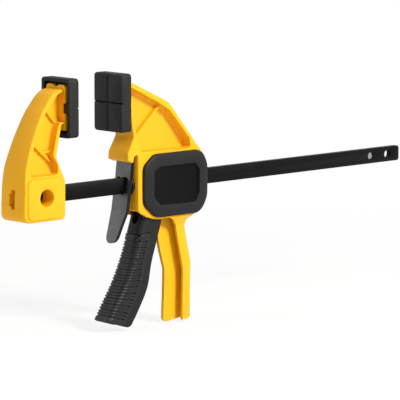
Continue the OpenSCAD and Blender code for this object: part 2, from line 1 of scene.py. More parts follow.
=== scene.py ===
import math
import bmesh
import bpy
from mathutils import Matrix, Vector


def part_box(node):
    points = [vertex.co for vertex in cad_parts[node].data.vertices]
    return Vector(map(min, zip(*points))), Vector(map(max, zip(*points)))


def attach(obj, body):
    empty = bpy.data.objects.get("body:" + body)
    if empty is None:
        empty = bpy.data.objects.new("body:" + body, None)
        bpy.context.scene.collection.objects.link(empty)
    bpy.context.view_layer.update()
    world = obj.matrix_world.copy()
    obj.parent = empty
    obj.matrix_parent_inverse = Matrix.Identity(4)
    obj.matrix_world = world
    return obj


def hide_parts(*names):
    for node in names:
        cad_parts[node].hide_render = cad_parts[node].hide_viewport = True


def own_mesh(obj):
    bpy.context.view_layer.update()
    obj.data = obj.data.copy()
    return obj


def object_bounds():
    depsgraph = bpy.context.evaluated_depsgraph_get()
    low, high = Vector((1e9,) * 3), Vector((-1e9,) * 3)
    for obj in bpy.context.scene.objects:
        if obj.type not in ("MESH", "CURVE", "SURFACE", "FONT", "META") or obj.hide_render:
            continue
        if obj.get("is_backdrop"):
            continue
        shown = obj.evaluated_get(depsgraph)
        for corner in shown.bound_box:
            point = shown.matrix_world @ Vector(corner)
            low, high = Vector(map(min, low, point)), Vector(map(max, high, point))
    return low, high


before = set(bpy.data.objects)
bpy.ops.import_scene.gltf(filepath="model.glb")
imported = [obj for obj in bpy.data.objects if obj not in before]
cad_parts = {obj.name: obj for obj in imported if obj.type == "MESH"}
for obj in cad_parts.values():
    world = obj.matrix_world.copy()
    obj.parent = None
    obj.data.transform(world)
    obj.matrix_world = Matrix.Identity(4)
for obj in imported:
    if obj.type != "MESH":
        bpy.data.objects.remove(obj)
cad_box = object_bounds()
MM = 0.001

# Camera. The clamp is seen from the fixed jaw's end and a little above, with a long lens from
# two and a half metres away, so that the bar runs back to the right with little perspective.
view_azimuth = math.radians(-43.0)
view_elevation = math.radians(7.9)
view_distance = 2482.27 * MM
bar_low, bar_high = [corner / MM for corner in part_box("bar")]
bar_axis = (bar_low.z + bar_high.z) / 2
aim = Vector((75.54, -71.55, bar_axis - 5.84)) * MM
bpy.ops.object.camera_add(rotation=(math.pi / 2 - view_elevation, 0, view_azimuth))
camera = bpy.context.object
camera.name = "camera"
camera.location = aim + view_distance * Vector((
    math.sin(view_azimuth) * math.cos(view_elevation),
    -math.cos(view_azimuth) * math.cos(view_elevation),
    math.sin(view_elevation)))
camera.data.sensor_width = 36
camera.data.lens = 288
camera.data.clip_end = 20
bpy.context.scene.camera = camera
bpy.context.scene.view_settings.view_transform = "Standard"


# Bar. Flat mild steel strip, cut to length and black oxide coated, with a hanging hole and the
# hole for the stop pin near its tail. Its long edges are rounded by the rolling.
bar_edge = 0.4
tail_bevel = 1.5
hang_hole_r = 3.6
hang_hole_inset = 13.8
stop_pin_r = 3.07
stop_pin_inset = 34.3


def linear(code):
    """The linear colour of an sRGB hex value such as f0c020."""
    parts = [int(code[i:i + 2], 16) / 255 for i in (0, 2, 4)]
    parts = [c / 12.92 if c <= 0.04045 else ((c + 0.055) / 1.055) ** 2.4 for c in parts]
    return (*parts, 1.0)


def add(material, kind, inputs, **settings):
    """Adds a node to a material. An input is a value, or another node's output to link from."""
    tree = material.node_tree
    new = tree.nodes.new(kind)
    for key, value in settings.items():
        setattr(new, key, value)
    for key, value in inputs.items():
        if isinstance(value, bpy.types.NodeSocket):
            tree.links.new(value, new.inputs[key])
        else:
            new.inputs[key].default_value = value
    return new


def blank(name):
    """A new material with its shader and its place in the piece's own coordinates."""
    material = bpy.data.materials.new(name)
    material.use_nodes = True
    shader = material.node_tree.nodes["Principled BSDF"]
    place = add(material, "ShaderNodeTexCoord", {}).outputs["Object"]
    return material, shader, place


def connect(material, source, shader, socket):
    """Links an output to one of the shader's inputs."""
    material.node_tree.links.new(source, shader.inputs[socket])


def clear():
    """Leaves edit mode and deselects everything, so that an operator acts on its own piece."""
    if bpy.context.mode != "OBJECT":
        bpy.ops.object.mode_set(mode="OBJECT")
    bpy.ops.object.select_all(action="DESELECT")


def edit(piece):
    """Opens a piece in edit mode, alone."""
    clear()
    piece.select_set(True)
    bpy.context.view_layer.objects.active = piece
    bpy.ops.object.mode_set(mode="EDIT")


def block(low, high):
    """A box between two corners, in millimetres."""
    clear()
    low, high = Vector(low), Vector(high)
    bpy.ops.mesh.primitive_cube_add(size=1, location=(low + high) / 2, scale=high - low)
    bpy.ops.object.transform_apply(location=True, rotation=True, scale=True)
    return bpy.context.object


def rod(start, end, radius, sides=48):
    """A cylinder from one point to another, in millimetres."""
    clear()
    start, end = Vector(start), Vector(end)
    turn = (end - start).to_track_quat("Z", "Y").to_euler()
    bpy.ops.mesh.primitive_cylinder_add(vertices=sides, radius=radius, depth=(end - start).length,
                                        location=(start + end) / 2, rotation=turn)
    bpy.ops.object.transform_apply(location=True, rotation=True, scale=True)
    return bpy.context.object


def choose(piece, kind, test):
    """Opens a piece and selects those of its edges or faces that pass a test."""
    edit(piece)
    bpy.ops.mesh.select_mode(type=kind)
    bpy.ops.mesh.select_all(action="DESELECT")
    mesh = bmesh.from_edit_mesh(piece.data)
    for element in {"VERT": mesh.verts, "EDGE": mesh.edges, "FACE": mesh.faces}[kind]:
        element.select_set(bool(test(element)))
    mesh.select_flush_mode()
    bmesh.update_edit_mesh(piece.data)


def middle(element):
    """The middle of an edge or a face."""
    return sum((v.co for v in element.verts), Vector()) / len(element.verts)


def round_edges(piece, radius, steps, test):
    """Rounds the edges that pass a test."""
    choose(piece, "EDGE", test)
    bpy.ops.mesh.bevel(offset=radius, segments=steps, affect="EDGES", clamp_overlap=False)


def combine(piece, tool, how):
    """Unites a piece with a tool, or takes the tool out of it, and removes the tool."""
    clear()
    bpy.context.view_layer.objects.active = piece
    modifier = piece.modifiers.new("combine", "BOOLEAN")
    modifier.operation = how
    modifier.solver = "EXACT"
    modifier.object = tool
    bpy.ops.object.modifier_apply(modifier=modifier.name)
    bpy.data.objects.remove(tool)


def soften(piece, radius, steps=2, angle=40):
    """Rounds every edge that is still sharp, as a mould or a tumbling drum leaves it."""
    clear()
    bpy.context.view_layer.objects.active = piece
    modifier = piece.modifiers.new("soften", "BEVEL")
    modifier.width = radius
    modifier.segments = steps
    modifier.limit_method = "ANGLE"
    modifier.angle_limit = math.radians(angle)
    modifier.use_clamp_overlap = True
    bpy.ops.object.modifier_apply(modifier=modifier.name)


def deliver(piece, name, material, body, nodes, shift=0.0):
    """Moves a finished piece along X, brings it to metres and gives it its finish and its body."""
    edit(piece)
    bpy.ops.mesh.select_all(action="SELECT")
    bpy.ops.mesh.remove_doubles(threshold=0.002)
    bpy.ops.mesh.dissolve_degenerate(threshold=0.002)
    choose(piece, "FACE", lambda f: all(e.is_boundary for e in f.edges))
    bpy.ops.mesh.delete(type="FACE")
    choose(piece, "EDGE", lambda e: e.is_boundary)
    bpy.ops.mesh.fill_holes(sides=0)
    bpy.ops.mesh.select_all(action="SELECT")
    bpy.ops.mesh.delete_loose()
    bpy.ops.mesh.select_all(action="SELECT")
    bpy.ops.mesh.normals_make_consistent(inside=False)
    bpy.ops.transform.translate(value=(shift, 0, 0))
    bpy.ops.transform.resize(value=(MM, MM, MM), center_override=(0, 0, 0))
    clear()
    piece.select_set(True)
    bpy.context.view_layer.objects.active = piece
    bpy.ops.object.shade_smooth_by_angle(angle=math.radians(32))
    piece.name = name
    piece.data.name = name
    piece.data.materials.clear()
    piece.data.materials.append(material)
    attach(piece, body)
    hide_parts(*nodes)


def black_oxide_steel():
    # Cold rolled strip, blackened in a salt bath: nearly black, matt, with fine rolling lines
    # along it. The lines are 0.1 mm apart on the bar and are drawn at 0.4 mm, to show.
    material, shader, place = blank("black_oxide_steel")
    along = add(material, "ShaderNodeMapping", {"Vector": place, "Scale": (0.03, 1, 1)}).outputs[0]
    lines = add(material, "ShaderNodeTexNoise",
                {"Vector": along, "Scale": 2500, "Detail": 3, "Roughness": 0.6}).outputs["Fac"]
    bloom = add(material, "ShaderNodeTexNoise",
                {"Vector": place, "Scale": 70, "Detail": 3, "Roughness": 0.5}).outputs["Fac"]
    both = add(material, "ShaderNodeMath", {0: lines, 1: bloom}, operation="ADD").outputs[0]
    tone = add(material, "ShaderNodeMapRange",
               {"Value": both, "From Min": 0.7, "From Max": 1.3}).outputs[0]
    colour = add(material, "ShaderNodeMix", {0: tone, 6: linear("060607"), 7: linear("0c0c0d")},
                 data_type="RGBA").outputs[2]
    connect(material, colour, shader, "Base Color")
    rough = add(material, "ShaderNodeMapRange",
                {"Value": both, "From Min": 0.6, "From Max": 1.4, "To Min": 0.36, "To Max": 0.52})
    connect(material, rough.outputs[0], shader, "Roughness")
    bump = add(material, "ShaderNodeBump", {"Height": lines, "Strength": 0.15, "Distance": 0.0001})
    connect(material, bump.outputs[0], shader, "Normal")
    shader.inputs["Specular IOR Level"].default_value = 0.09
    return material


bar = block(bar_low, bar_high)
tail = bar_high.x
round_edges(bar, tail_bevel, 1, lambda e: middle(e).x > tail - 0.1 and
            abs(middle(e).y) < 0.1 and abs(middle(e).z - bar_axis) > 1)
for hole_x, hole_r in ((tail - hang_hole_inset, hang_hole_r), (tail - stop_pin_inset, stop_pin_r)):
    combine(bar, rod((hole_x, -9, bar_axis), (hole_x, 9, bar_axis), hole_r), "DIFFERENCE")
soften(bar, bar_edge, 2)
deliver(bar, "steel_bar", black_oxide_steel(), "bar_body", ["bar"])

# Stop pin. Short piece of bright steel rod pressed through the bar near its tail, its ends
# chamfered. It stops the moving jaw from running off the bar.
pin_low, pin_high = [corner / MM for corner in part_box("stop_pin")]
pin_chamfer = 0.5


def zinc_plated_steel():
    # Turned or pressed steel with a thin bright zinc plating: silver-grey with a faint cloudy
    # bloom of some 2 mm and fine scratches.
    material, shader, place = blank("zinc_plated_steel")
    cloud = add(material, "ShaderNodeTexNoise",
                {"Vector": place, "Scale": 500, "Detail": 3, "Roughness": 0.6}).outputs["Fac"]
    colour = add(material, "ShaderNodeMix", {0: cloud, 6: linear("8f9092"), 7: linear("b4b5b6")},
                 data_type="RGBA").outputs[2]
    connect(material, colour, shader, "Base Color")
    rough = add(material, "ShaderNodeMapRange", {"Value": cloud, "To Min": 0.25, "To Max": 0.45})
    connect(material, rough.outputs[0], shader, "Roughness")
    scratch = add(material, "ShaderNodeTexNoise", {"Vector": place, "Scale": 4000, "Detail": 2})
    bump = add(material, "ShaderNodeBump",
               {"Height": scratch.outputs["Fac"], "Strength": 0.1, "Distance": 0.00005})
    connect(material, bump.outputs[0], shader, "Normal")
    shader.inputs["Metallic"].default_value = 1.0
    return material


zinc = zinc_plated_steel()
pin_x = (pin_low.x + pin_high.x) / 2
stop_pin = rod((pin_x, pin_low.y, bar_axis), (pin_x, pin_high.y, bar_axis), (pin_high.x - pin_low.x) / 2)
round_edges(stop_pin, pin_chamfer, 2, lambda e: e.calc_face_angle(0) > 1)
deliver(stop_pin, "stop_pin_chamfered", zinc, "bar_body", ["stop_pin"])

# Fixed jaw. One moulding of glass-filled nylon over the bar's front end: a curved I-section arm
# with a thin web and stiffening ribs, a block round the bar, and the head plate for the pad.
pad_low, pad_high = [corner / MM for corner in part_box("fixed_pad")]
throat = pad_low.z + pad_high.z - bar_high.z    # the pads' centre is at height 0
rim_x = pad_low.x
pad_half_h = (pad_high.z - pad_low.z) / 2
pad_half_w = (pad_high.y - pad_low.y) / 2
jaw_half = 14.5         # half width of the lower block
jaw_top_half = 9.5      # half width of the arm at its top
pocket_depth = 8
mould_edge = 1.2        # radius of the moulding's outer edges
floor_edge = 2.2        # radius where a pocket's walls meet its floor
small_edge = 0.45       # radius of every other edge


def above(d):
    """Height above the bar's upper edge."""
    return bar_high.z + d


def below(d):
    """Height below the bar's lower edge."""
    return bar_low.z - d


def arm(share):
    """Height along an arm, from the pads' centre at 0 to the bar's upper edge at 1."""
    return -throat * share


def fillet(before, corner, after, radius):
    """The arc that rounds one corner of an outline."""
    u, v = (before - corner).normalized(), (after - corner).normalized()
    half = u.angle(v) / 2
    reach = min(radius / math.tan(half), (before - corner).length / 2, (after - corner).length / 2)
    radius = reach * math.tan(half)
    centre = corner + (u + v).normalized() * radius / math.sin(half)
    start, end = corner + u * reach - centre, corner + v * reach - centre
    turn = math.atan2(start.cross(end), start.dot(end))
    steps = max(2, math.ceil(abs(math.degrees(turn)) / 12))
    first = math.atan2(start.y, start.x)
    return [centre + radius * Vector((math.cos(first + turn * k / steps),
                                      math.sin(first + turn * k / steps)))
            for k in range(steps + 1)]


def rounded(corners):
    """An outline from corners (x, z) or (x, z, radius), its corners rounded."""
    points = []
    count = len(corners)
    for i, corner in enumerate(corners):
        here = Vector(corner[:2])
        if len(corner) == 2:
            points.append(here)
        else:
            points += fillet(Vector(corners[i - 1][:2]), here,
                             Vector(corners[(i + 1) % count][:2]), corner[2])
    return points


def curve(places, steps=4):
    """A smooth line through the places given."""
    p = [Vector(place) for place in places]
    points = []
    for i in range(len(p) - 1):
        a, b, c, d = p[max(i - 1, 0)], p[i], p[i + 1], p[min(i + 2, len(p) - 1)]
        for k in range(steps):
            t = k / steps
            points.append((2 * b + (c - a) * t + (2 * a - 5 * b + 4 * c - d) * t * t
                           + (3 * b - a - 3 * c + d) * t ** 3) / 2)
    return points + [p[-1]]


def slab(outline, low, high, axis="Y"):
    """A solid between two planes across an axis, drawn point by point round its outline."""
    place = {"X": lambda p: Vector((low, p[0], p[1])), "Y": lambda p: Vector((p[0], low, p[1])),
             "Z": lambda p: Vector((p[0], p[1], low))}[axis]
    clear()
    bpy.ops.mesh.primitive_plane_add(size=1)
    bpy.ops.object.mode_set(mode="EDIT")
    bpy.ops.mesh.select_mode(type="VERT")
    bpy.ops.mesh.select_all(action="SELECT")
    bpy.ops.mesh.merge(type="CENTER")
    bpy.ops.transform.translate(value=place(outline[0]))
    for here, there in zip(outline, outline[1:]):
        bpy.ops.mesh.extrude_vertices_move(
            TRANSFORM_OT_translate={"value": place(there) - place(here)})
    bpy.ops.mesh.select_all(action="SELECT")
    bpy.ops.mesh.edge_face_add()
    run = {"X": (high - low, 0, 0), "Y": (0, high - low, 0), "Z": (0, 0, high - low)}[axis]
    bpy.ops.mesh.extrude_region_move(TRANSFORM_OT_translate={"value": run})
    bpy.ops.mesh.select_all(action="SELECT")
    bpy.ops.mesh.normals_make_consistent(inside=False)
    clear()
    return bpy.context.object


def trim(piece, point, normal):
    """Cuts away what lies on the normal's side of a plane and closes the cut."""
    edit(piece)
    bpy.ops.mesh.select_all(action="SELECT")
    bpy.ops.mesh.bisect(plane_co=point, plane_no=normal, use_fill=True, clear_outer=True)
    clear()


def taper(piece, low_half, high_half, z_low, z_high, sides=(-1, 1), inner=False):
    """Trims a piece to side faces that lean in from one half width to another with height."""
    lean = (low_half - high_half) / (z_high - z_low)
    for s in sides:
        normal = Vector((0, s, lean)).normalized()
        trim(piece, Vector((0, s * low_half, z_low)), -normal if inner else normal)


def rim_edge(e):
    """Whether an edge lies between a side face and the rim round it."""
    if len(e.link_faces) != 2:
        return False
    a, b = sorted(abs(f.normal.y) for f in e.link_faces)
    return a < 0.5 < 0.9 < b


plate_half_w = pad_half_w - 5.75
plate_top = pad_half_h - 5
plate_bottom = -pad_half_h + 6
plate_gap = 0.2         # from the pad's back rim to the plate
plate_t = 2.5
scallop_r = 5
notch_h = 8
notch_d = 1.9


def head_plate(s):
    """The plate that a pad snaps over, on the +X side of the rim's plane if s is 1."""
    plate = block((min(s * plate_gap, s * (plate_gap + plate_t)), -plate_half_w, plate_bottom),
                  (max(s * plate_gap, s * (plate_gap + plate_t)), plate_half_w, plate_top))
    cuts = [rod((-9, 0, plate_top + 0.7 * scallop_r), (9, 0, plate_top + 0.7 * scallop_r), scallop_r)]
    for side in (-1, 1):
        cuts.append(rod((-9, side * (plate_half_w + 0.5), plate_top + 0.3),
                        (9, side * (plate_half_w + 0.5), plate_top + 0.3), 2))
        cuts.append(block((-9, side * plate_half_w - notch_d, -notch_h / 2),
                          (9, side * plate_half_w + notch_d, notch_h / 2)))
    for tool in cuts:
        combine(plate, tool, "DIFFERENCE")
    return plate


def glass_filled_nylon():
    # Nylon 6 with a third of short glass fibre, moulded in a spark-eroded tool: a warm yellow
    # with a soft sheen, a grain of some 0.1 mm drawn at 0.3 mm to show, and a faint fibre cloud.
    material, shader, place = blank("glass_filled_nylon_yellow")
    cloud = add(material, "ShaderNodeTexNoise",
                {"Vector": place, "Scale": 55, "Detail": 3, "Roughness": 0.55}).outputs["Fac"]
    colour = add(material, "ShaderNodeMix", {0: cloud, 6: linear("e6a819"), 7: linear("ebad1b")},
                 data_type="RGBA").outputs[2]
    connect(material, colour, shader, "Base Color")
    grain = add(material, "ShaderNodeTexNoise",
                {"Vector": place, "Scale": 3300, "Detail": 2, "Roughness": 0.5}).outputs["Fac"]
    rough = add(material, "ShaderNodeMapRange", {"Value": grain, "To Min": 0.38, "To Max": 0.54})
    connect(material, rough.outputs[0], shader, "Roughness")
    bump = add(material, "ShaderNodeBump", {"Height": grain, "Strength": 0.3, "Distance": 0.00006})
    connect(material, bump.outputs[0], shader, "Normal")
    shader.inputs["Specular IOR Level"].default_value = 0.18
    return material


nylon = glass_filled_nylon()
jaw_back = -43.6
arm_low, arm_high = above(1.7), plate_top - 5
fixed_outline = rounded(
    [(jaw_back, below(12), 6), (jaw_back, below(0.6), 8), (jaw_back + 0.8, above(3))]
    + curve([(jaw_back + 1.1, above(7)), (-40.8, arm(0.70)), (-33.3, arm(0.37)),
             (-23.8, arm(0.07)), (-18.8, plate_top - 15.5), (-12.6, plate_top - 8.1),
             (-6.5, plate_top - 4.2), (plate_gap + 1, plate_top - 2.6)])
    + [(plate_gap + 1, plate_bottom + 5.2), (-2.9, plate_bottom + 5.2, 2), (-5.4, arm(0.33), 6),
       (-10.2, arm(0.61), 9), (-6.7, arm(0.74), 6), (-2.4, above(6), 6), (-2.4, below(8), 4),
       (-4, below(12), 3)])
fixed_jaw = slab(fixed_outline, -jaw_half, jaw_half)
taper(fixed_jaw, jaw_half, jaw_top_half, arm_low, arm_high)
round_edges(fixed_jaw, mould_edge, 3, lambda e: rim_edge(e) and middle(e).x < 0)

pocket_outline = rounded([
    (2, plate_top - 4.6), (-5, plate_top - 6, 6), (-17, plate_top - 17.6, 12),
    (-27.8, arm(0.26), 16), (-37.6, arm(0.68), 20), (-39.4, above(10.6), 4), (-9.4, above(10.6), 3),
    (-9.4, arm(0.69), 4), (-13.6, arm(0.58), 5), (-7.4, plate_bottom + 3, 4),
    (-5.4, plate_bottom + 6.6, 1), (2, plate_bottom + 6.6)])
web_low, web_high = jaw_half - pocket_depth, jaw_top_half - pocket_depth + 0.5
for s in (-1, 1):
    pocket = slab(pocket_outline, min(s, s * 30), max(s, s * 30))
    taper(pocket, web_low, web_high, arm_low, arm_high, [s], inner=True)
    round_edges(pocket, floor_edge, 3,
                lambda e: rim_edge(e) and abs(middle(e).y) < 12 and middle(e).x < 1.9)
    combine(fixed_jaw, pocket, "DIFFERENCE")

rib_w = 2.0
rib_sunk = 5.0


def rib(start, end, half):
    """A straight rib between two places, standing out to both sides."""
    start, end = Vector(start), Vector(end)
    side = (end - start).normalized().orthogonal() * rib_w / 2
    return slab([start + side, start - side, end - side, end + side], -half, half)


for start, end in (((-15.4, plate_top - 16.4), (-4, plate_bottom + 4)),
                   ((-31, arm(0.385)), (-11, arm(0.68))), ((-21.5, arm(0.55)), (-11, arm(0.525)))):
    wall = rib(start, end, jaw_half)
    taper(wall, jaw_half - rib_sunk, jaw_top_half - rib_sunk, arm_low, arm_high)
    round_edges(wall, 0.5, 2, lambda e: abs(e.link_faces[0].normal.y) > 0.9
                or abs(e.link_faces[1].normal.y) > 0.9)
    combine(fixed_jaw, wall, "UNION")

boss_proud = 1.0
boss = slab(rounded([(-40.6, below(10.4), 5), (-5.6, below(10.4), 7), (-4.9, above(8.6), 5),
                     (-40.6, above(8.6), 5)]), -jaw_half - boss_proud, jaw_half + boss_proud)
round_edges(boss, 0.8, 3, rim_edge)
combine(fixed_jaw, boss, "UNION")
combine(fixed_jaw, head_plate(1), "UNION")

boss_x = -22
boss_hole_r = 6.8
bar_half_t = bar_high.y
combine(fixed_jaw, block((bar_low.x - rim_x, -bar_half_t, bar_low.z), (9, bar_half_t, bar_high.z)),
        "DIFFERENCE")
slot = [(-2.2, -8.2), (2.2, -8.2), (2.2, -6), (4.4, -6), (4.4, 3.5), (2.2, 3.5), (2.2, 6.8),
        (-2.2, 6.8)]
combine(fixed_jaw, slab([(y, bar_axis + z) for y, z in slot], jaw_back - 1, jaw_back + 5, "X"),
        "DIFFERENCE")
soften(fixed_jaw, small_edge)
for s in (-1, 1):
    combine(fixed_jaw, rod((boss_x, s * (bar_half_t - 0.2), bar_axis), (boss_x, s * 30, bar_axis),
                            boss_hole_r),
            "DIFFERENCE")
round_edges(fixed_jaw, small_edge, 2, lambda e: abs(middle(e).y) > jaw_half and
            abs(math.dist((middle(e).x, middle(e).z), (boss_x, bar_axis)) - boss_hole_r) < 0.1)
deliver(fixed_jaw, "fixed_jaw_moulding", nylon, "bar_body", ["fixed_jaw"], rim_x)

# Pads. Soft black rubber mouldings, cup-shaped and snapped over the jaws' head plates by two
# tabs. Two V-grooves cross the clamping face, and its edges are bevelled.
pad_t = pad_high.x - pad_low.x
pad_wall = 3
pad_floor = 4
pad_corner = 3
pad_bevel = 1.5
groove_half = 0.9
groove_d = 1.8
tab_gap = 0.1


def pad_rubber():
    # Thermoplastic rubber from a blasted mould: dark grey and matt, with a pebbled skin of some
    # 0.15 mm drawn at 0.3 mm to show, and a faint bloom where hands have rubbed it.
    material, shader, place = blank("moulded_pad_rubber")
    bloom = add(material, "ShaderNodeTexNoise",
                {"Vector": place, "Scale": 90, "Detail": 3, "Roughness": 0.6}).outputs["Fac"]
    colour = add(material, "ShaderNodeMix", {0: bloom, 6: linear("0f0f10"), 7: linear("171718")},
                 data_type="RGBA").outputs[2]
    connect(material, colour, shader, "Base Color")
    skin = add(material, "ShaderNodeTexVoronoi", {"Vector": place, "Scale": 3300})
    bump = add(material, "ShaderNodeBump",
               {"Height": skin.outputs["Distance"], "Strength": 0.2, "Distance": 0.0001})
    connect(material, bump.outputs[0], shader, "Normal")
    rough = add(material, "ShaderNodeMapRange", {"Value": bloom, "To Min": 0.55, "To Max": 0.72})
    connect(material, rough.outputs[0], shader, "Roughness")
    shader.inputs["Specular IOR Level"].default_value = 0.3
    return material


def pad(s):
    """A pad with its back rim at X = 0 and its clamping face towards s."""
    piece = block((0, -pad_half_w, -pad_half_h), (pad_t, pad_half_w, pad_half_h))
    round_edges(piece, pad_corner, 5, lambda e: abs(e.verts[0].co.x - e.verts[1].co.x) > 1)
    round_edges(piece, pad_bevel, 3, lambda e: min(v.co.x for v in e.verts) > pad_t - 0.1)
    cup = block((-1, pad_wall - pad_half_w, pad_wall - pad_half_h),
                (pad_t - pad_floor, pad_half_w - pad_wall, pad_half_h - pad_wall))
    round_edges(cup, 2, 4, lambda e: abs(e.verts[0].co.x - e.verts[1].co.x) > 1)
    combine(piece, cup, "DIFFERENCE")
    groove = [(pad_t - groove_d, 0), (pad_t, -groove_half), (pad_t + 1, -groove_half),
              (pad_t + 1, groove_half), (pad_t, groove_half)]
    combine(piece, slab(groove, -2 * pad_half_h, 2 * pad_half_h, "Z"), "DIFFERENCE")
    combine(piece, slab(groove, -2 * pad_half_w, 2 * pad_half_w, "Y"), "DIFFERENCE")
    combine(piece, block((plate_gap + plate_t, -8, -14), (pad_t - 3, 8, 15)), "UNION")
    for side in (-1, 1):
        inner, outer = sorted((side * (plate_half_w - notch_d + tab_gap), side * (pad_half_w - 1)))
        combine(piece, block((plate_gap, inner, -notch_h / 2 + tab_gap),
                             (pad_t - 3, outer, notch_h / 2 - tab_gap)), "UNION")
    soften(piece, 0.3)
    if s < 0:
        edit(piece)
        bpy.ops.mesh.select_all(action="SELECT")
        bpy.ops.transform.mirror(constraint_axis=(True, False, False), center_override=(0, 0, 0))
    return piece


rubber = pad_rubber()
moving_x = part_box("moving_pad")[1].x / MM
deliver(pad(1), "fixed_pad_moulding", rubber, "bar_body", ["fixed_pad"], rim_x)
deliver(pad(-1), "moving_pad_moulding", rubber, "moving_jaw", ["moving_pad"], moving_x)

# Moving jaw body. The same yellow moulding carries the moving pad, houses the drive, and ends
# below in the fixed handle, which is an E-section: a back with two side walls and a middle web.
body_half = 12.5
body_top_half = 9.2
body_rear = 81
wall_front = 11         # front face of the wall that the release lever rests against
wall_t = 6.5
wall_rear_t = 2.6
skin = 2.2
body_web_half = 2.5
body_low, body_high = above(12), plate_top - 5
pivot = (29, above(7.65))
lever_pivot = (9, above(16.65))
lever_t = 3
lever_seat = lever_t / 2 + 0.4
fork_out = 8.4

body_outline = rounded(
    [(-plate_gap - 1, plate_bottom + 5.2), (-plate_gap - 1, plate_top - 1.2)]
    + curve([(3, plate_top - 1), (7.6, plate_top - 2.8), (19.9, plate_top - 8.7),
             (33.7, plate_top - 15.1), (44.6, plate_top - 20.5), (51.1, plate_top - 26.9),
             (56.9, arm(0.27)), (65.8, arm(0.45)), (71.8, arm(0.58))])
    + [(81, above(14.8), 4), (body_rear, below(10), 10), (75.5, below(19.3), 4),
       (65, below(24.2), 4), (57, below(22)),
       (40.6, below(22)), (33.9, below(22.2)), (27.7, below(21.4)), (20.2, below(19.2)),
       (13.4, below(15.5)), (wall_front, below(13.2)), (wall_front, lever_pivot[1]),
       (lever_pivot[0] - lever_seat, lever_pivot[1]), (6.4, above(13.2), 1),
       (5.4, above(12.4), 1), (0.6, above(14.6), 1), (0.8, above(20.6), 4), (7.6, arm(0.46), 5),
       (5.6, plate_bottom + 1), (5.4, plate_bottom + 5.2, 2)])
body = slab(body_outline, -body_half, body_half)
taper(body, body_half, body_top_half, body_low, body_high)
round_edges(body, mould_edge, 3, lambda e: rim_edge(e) and middle(e).x > 0)

pocket_outline = rounded([
    (-2, plate_top - 4), (7.4, plate_top - 7, 3), (35.9, plate_top - 20.8, 6),
    (46.8, plate_top - 27.6, 6), (66.2, arm(0.54), 4), (67.8, above(19.6), 3),
    (14.4, above(20.4), 3), (9, arm(0.36), 6), (8.2, plate_bottom + 3, 4),
    (4.6, plate_bottom + 7.2, 2), (-2, plate_bottom + 7.2)])
recess_depth = 0.9
recess_outline = rounded([(7.7, 77.1 + bar_axis, 1), (11.1, 75.1 + bar_axis, 1),
                          (10.7, 71.5 + bar_axis, 1), (7.8, 67.2 + bar_axis, 1)])
for s in (-1, 1):
    pocket = slab(pocket_outline, min(s * body_web_half, s * 30), max(s * body_web_half, s * 30))
    round_edges(pocket, floor_edge, 3, lambda e: rim_edge(e) and abs(middle(e).y) < 12
                and middle(e).x > -1.9)
    combine(body, pocket, "DIFFERENCE")
    floor_y = s * (body_web_half - recess_depth)
    combine(body, slab(recess_outline, min(floor_y, s * 30), max(floor_y, s * 30)), "DIFFERENCE")

wall = rib((38.6, plate_top - 24.5), (14, arm(0.47)), body_web_half + 3.5)
round_edges(wall, 0.5, 2, rim_edge)
combine(body, wall, "UNION")
combine(body, head_plate(-1), "UNION")

handle_half = 9.3
handle_wall = 2.4
handle_web_half = 1.4
handle_corner = 7       # radius of the handle's back corners
back_line = rounded([(75, below(18)), (69.5, below(22.5), 4), (66.9, below(29), 8), (67.3, below(34), 12),
                     (73.7, below(60.8), 9), (73.0, below(84), 30), (73.1, below(112))])
wall_line = rounded([(36, below(18)), (41.7, below(20.3), 3), (49.6, below(24.2), 5),
                     (53.6, below(28.8), 4), (54.6, below(34), 8), (61.5, below(64.8), 12),
                     (60.8, below(112))])
mouth_rear = 50.5       # rear end of the opening in the body's underside for the trigger
foot = (46, below(108.3))
foot_slope = math.radians(7)


def arc(centre, radius, start, end, steps=6):
    """Points of an arc, with angles in degrees."""
    angles = [math.radians(start + (end - start) * k / steps) for k in range(steps + 1)]
    return [(centre[0] + radius * math.cos(a), centre[1] + radius * math.sin(a)) for a in angles]


def at_height(line, z):
    """Place along X of a line that falls steadily, at one height."""
    for a, b in zip(line, line[1:]):
        if a.y >= z >= b.y:
            return a.x + (b.x - a.x) * (a.y - z) / (a.y - b.y)
    return line[-1].x


def flare(z):
    """Half width of the handle at a height. At its root it widens to the body's own width."""
    share = min(1, max(0, (z - below(32)) / 9))
    return handle_half + (body_half - 0.2 - handle_half) * share * share


